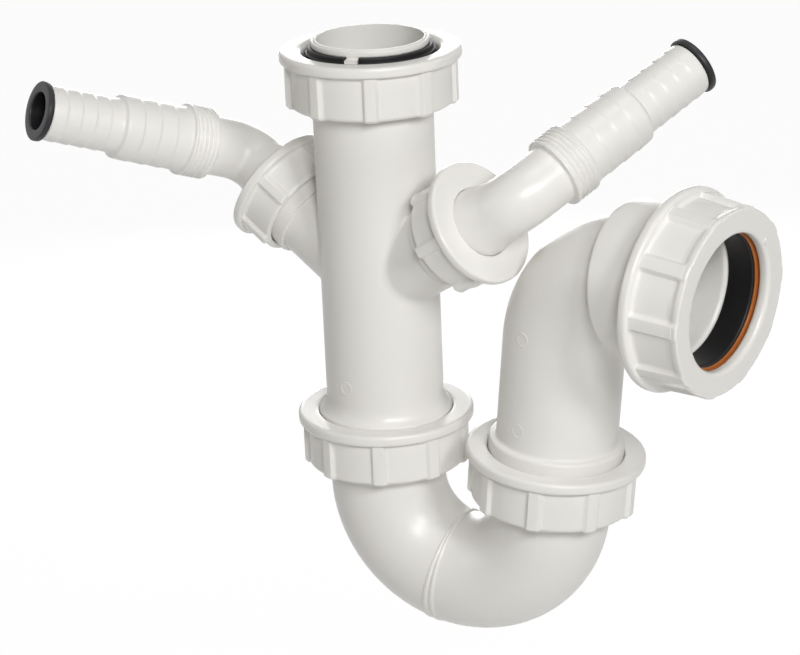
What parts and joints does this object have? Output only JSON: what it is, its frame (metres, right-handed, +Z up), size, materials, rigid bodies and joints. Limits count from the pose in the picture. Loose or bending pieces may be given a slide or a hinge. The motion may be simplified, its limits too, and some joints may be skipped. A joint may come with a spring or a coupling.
{
  "type": "appliance trap",
  "caption": "White plastic sink trap with an upright inlet tube, branched hose nozzles, a swivelling U-bend water seal and a side outlet elbow with a compression nut.",
  "frame": {"origin": "on the inlet axis, on the washer face that seals against the sink waste", "axes": "+Z up along the inlet tube, +X from the inlet tube towards the outlet leg"},
  "size_m": [0.2624, 0.1204, 0.2206],
  "materials": {
    "white_plastic": "semi-gloss moulded polypropylene",
    "black_rubber": "matt black rubber",
    "slip_ring": "satin orange-brown plastic",
    "black_plastic": "satin black plastic"
  },
  "bodies": {
    "body": {"body_tube": "white_plastic", "inlet_washer": "black_rubber", "right_branch_washer": "black_rubber", "left_branch_washer": "black_rubber"},
    "inlet_nut": {"inlet_nut": "white_plastic"},
    "u_bend": {"u_bend": "white_plastic", "body_seal": "black_rubber", "leg_seal": "black_rubber"},
    "body_nut": {"body_nut": "white_plastic"},
    "leg_nut": {"leg_nut": "white_plastic"},
    "outlet": {"outlet_elbow": "white_plastic", "outlet_seal": "black_rubber", "outlet_slip_ring": "slip_ring"},
    "outlet_nut": {"outlet_nut": "white_plastic"},
    "right_branch_nut": {"right_branch_nut": "white_plastic"},
    "left_branch_nut": {"left_branch_nut": "white_plastic"},
    "right_nozzle": {"right_nozzle": "white_plastic"},
    "left_nozzle": {"left_nozzle": "white_plastic"},
    "right_plug": {"right_blanking_plug": "black_plastic"},
    "left_plug": {"left_blanking_plug": "black_plastic"}
  },
  "joints": [
    {"name": "inlet_nut_spin", "type": "hinge", "parent": "body", "child": "inlet_nut", "pos_m": [0, 0, 0], "axis": [0, 0, 1], "continuous": true},
    {"name": "u_bend_swivel", "type": "hinge", "parent": "body", "child": "u_bend", "pos_m": [0, 0, -0.1365], "axis": [0, 0, 1], "range_deg": [0, 120]},
    {"name": "body_nut_spin", "type": "hinge", "parent": "u_bend", "child": "body_nut", "pos_m": [0, 0, -0.1365], "axis": [0, 0, 1], "continuous": true},
    {"name": "leg_nut_spin", "type": "hinge", "parent": "u_bend", "child": "leg_nut", "pos_m": [0.06842, 0, -0.14257], "axis": [0.0983, 0, 0.9952], "continuous": true},
    {"name": "outlet_swivel", "type": "hinge", "parent": "u_bend", "child": "outlet", "pos_m": [0.06842, 0, -0.14257], "axis": [0.0983, 0, 0.9952], "range_deg": [0, 50]},
    {"name": "outlet_nut_spin", "type": "hinge", "parent": "outlet", "child": "outlet_nut", "pos_m": [0.12948, -0.01086, -0.07251], "axis": [0.9784, -0.1975, -0.0616], "continuous": true},
    {"name": "right_branch_nut_spin", "type": "hinge", "parent": "body", "child": "right_branch_nut", "pos_m": [0.04475, -0.0087, -0.0568], "axis": [0.8364, -0.1626, 0.5234], "continuous": true},
    {"name": "right_nozzle_swivel", "type": "hinge", "parent": "body", "child": "right_nozzle", "pos_m": [0.04475, -0.0087, -0.0568], "axis": [0.8364, -0.1626, 0.5234], "range_deg": [0, 135]},
    {"name": "right_plug_pull", "type": "slide", "parent": "right_nozzle", "child": "right_plug", "axis": [0.475, 0.7655, 0.434], "range_m": [0, 0.014]},
    {"name": "left_branch_nut_spin", "type": "hinge", "parent": "body", "child": "left_branch_nut", "pos_m": [-0.04475, 0.0087, -0.0568], "axis": [-0.8364, 0.1626, 0.5234], "continuous": true},
    {"name": "left_nozzle_swivel", "type": "hinge", "parent": "body", "child": "left_nozzle", "pos_m": [-0.04475, 0.0087, -0.0568], "axis": [-0.8364, 0.1626, 0.5234], "range_deg": [-90, 135]},
    {"name": "left_plug_pull", "type": "slide", "parent": "left_nozzle", "child": "left_plug", "axis": [-0.5385, -0.7732, 0.335], "range_m": [0, 0.014]}
  ]
}
